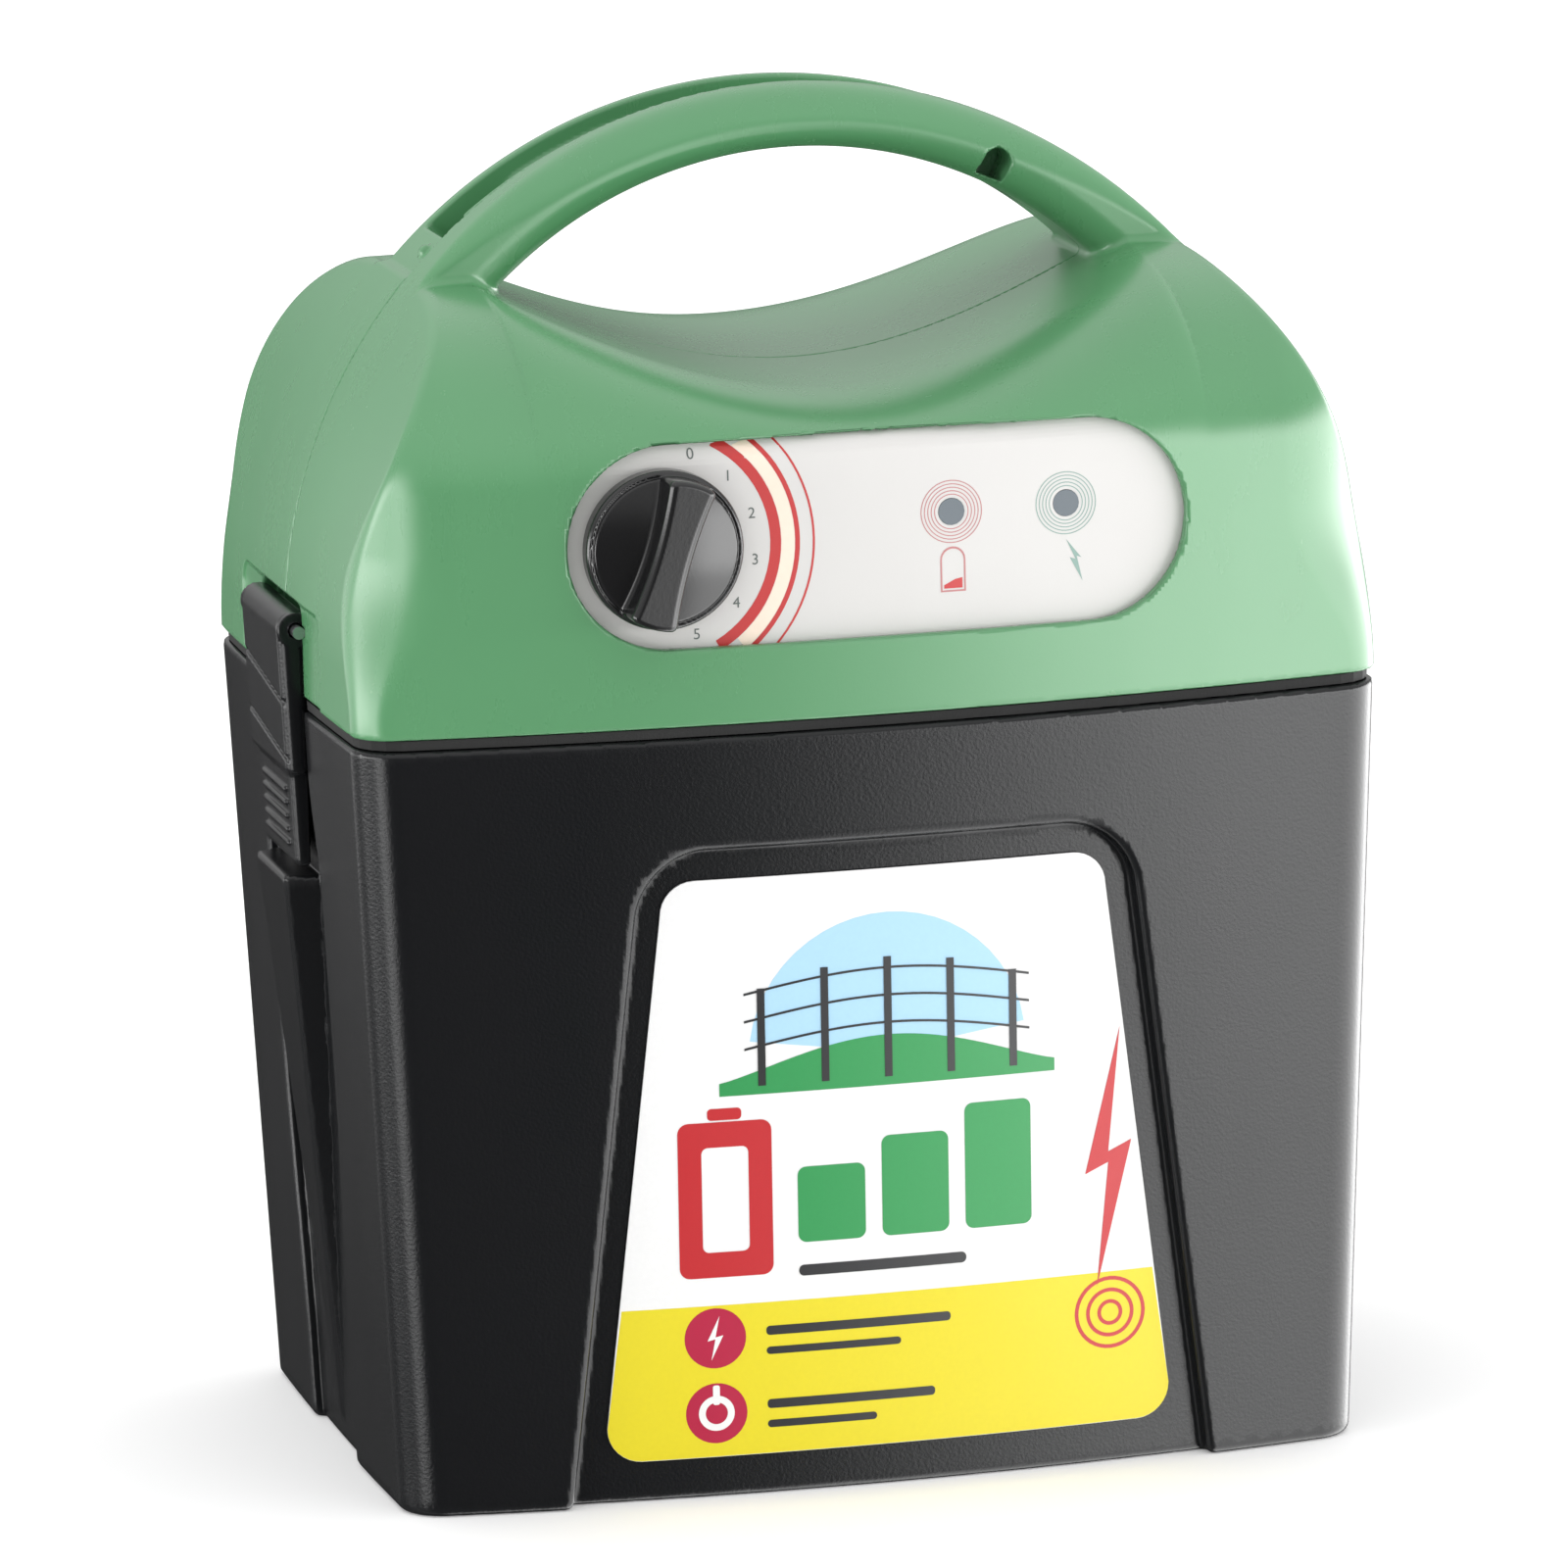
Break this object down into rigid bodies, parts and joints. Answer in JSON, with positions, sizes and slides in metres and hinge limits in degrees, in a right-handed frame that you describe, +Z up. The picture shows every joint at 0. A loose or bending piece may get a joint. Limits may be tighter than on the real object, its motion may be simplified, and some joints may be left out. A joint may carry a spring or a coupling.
{
  "type": "fence energizer",
  "caption": "Battery electric fence energizer: black battery box with a green head that carries an arched handle, a dial knob, indicator windows, side latches and rear terminals.",
  "frame": {"origin": "middle of the flat underside of the battery box", "axes": "+Z up, +X to the right seen from the front, the control panel and label face -Y"},
  "size_m": [0.2546, 0.2039, 0.3195],
  "materials": {
    "green_plastic": "satin moulded, fine texture",
    "black_plastic": "satin moulded",
    "gloss_black": "polished",
    "white_plastic": "satin",
    "printed_label": "printed film, white over yellow",
    "black_rubber": "matt",
    "red_plastic": "satin",
    "brass": "turned",
    "copper": "enamelled wire",
    "circuit_green": "solder mask",
    "grey_lens": "smoked",
    "led_red": "clear tinted",
    "led_green": "clear tinted",
    "battery_case": "matt moulded",
    "steel": "zinc plated"
  },
  "bodies": {
    "box": {"battery_box": "black_plastic", "label": "printed_label", "rim_seal": "black_rubber", "battery_block": "battery_case", "battery_terminal_plus": "brass", "battery_terminal_minus": "brass"},
    "head": {"base_tray": "black_plastic", "battery_cap_minus": "black_rubber", "battery_cap_plus": "red_plastic", "battery_lead_minus": "black_rubber", "battery_lead_plus": "red_plastic", "board_screw_1": "steel", "board_screw_2": "steel", "circuit_board": "circuit_green", "control_panel": "white_plastic", "earth_stud": "steel", "earth_washer": "steel", "fence_stud": "steel", "fence_washer": "steel", "head_front_shell": "green_plastic", "head_rear_shell": "green_plastic", "latch_pin_left": "steel", "latch_pin_right": "steel", "led_battery": "led_red", "led_fence": "led_green", "led_window_battery": "grey_lens", "led_window_fence": "grey_lens", "rotary_switch": "black_plastic", "shell_screw_1": "steel", "shell_screw_2": "steel", "shell_screw_3": "steel", "shell_screw_4": "steel", "storage_capacitor": "white_plastic", "transformer_core": "steel", "transformer_winding": "copper", "tray_screw_1": "steel", "tray_screw_2": "steel", "tray_screw_3": "steel", "tray_screw_4": "steel"},
    "knob": {"knob": "gloss_black", "knob_shaft": "steel"},
    "latch_left": {"latch_left": "black_plastic"},
    "latch_right": {"latch_right": "black_plastic"},
    "fence_terminal_knob": {"fence_terminal_knob": "red_plastic"},
    "earth_terminal_knob": {"earth_terminal_knob": "black_plastic"}
  },
  "joints": [
    {"name": "head_lift", "type": "slide", "parent": "box", "child": "head", "axis": [0, 0, 1], "range_m": [0, 0.18]},
    {"name": "knob_turn", "type": "hinge", "parent": "head", "child": "knob", "pos_m": [-0.0513, -0.09, 0.2257], "axis": [0, 1, 0], "range_deg": [0, 140]},
    {"name": "latch_left_swing", "type": "hinge", "parent": "head", "child": "latch_left", "pos_m": [-0.123, 0, 0.2], "axis": [0, 1, 0], "range_deg": [0, 95]},
    {"name": "latch_right_swing", "type": "hinge", "parent": "head", "child": "latch_right", "pos_m": [0.123, 0, 0.2], "axis": [0, -1, 0], "range_deg": [0, 95]},
    {"name": "fence_knob_screw", "type": "hinge", "parent": "head", "child": "fence_terminal_knob", "pos_m": [-0.038, 0.096, 0.214], "axis": [0, 1, 0], "continuous": true},
    {"name": "earth_knob_screw", "type": "hinge", "parent": "head", "child": "earth_terminal_knob", "pos_m": [0.038, 0.096, 0.214], "axis": [0, 1, 0], "continuous": true}
  ]
}
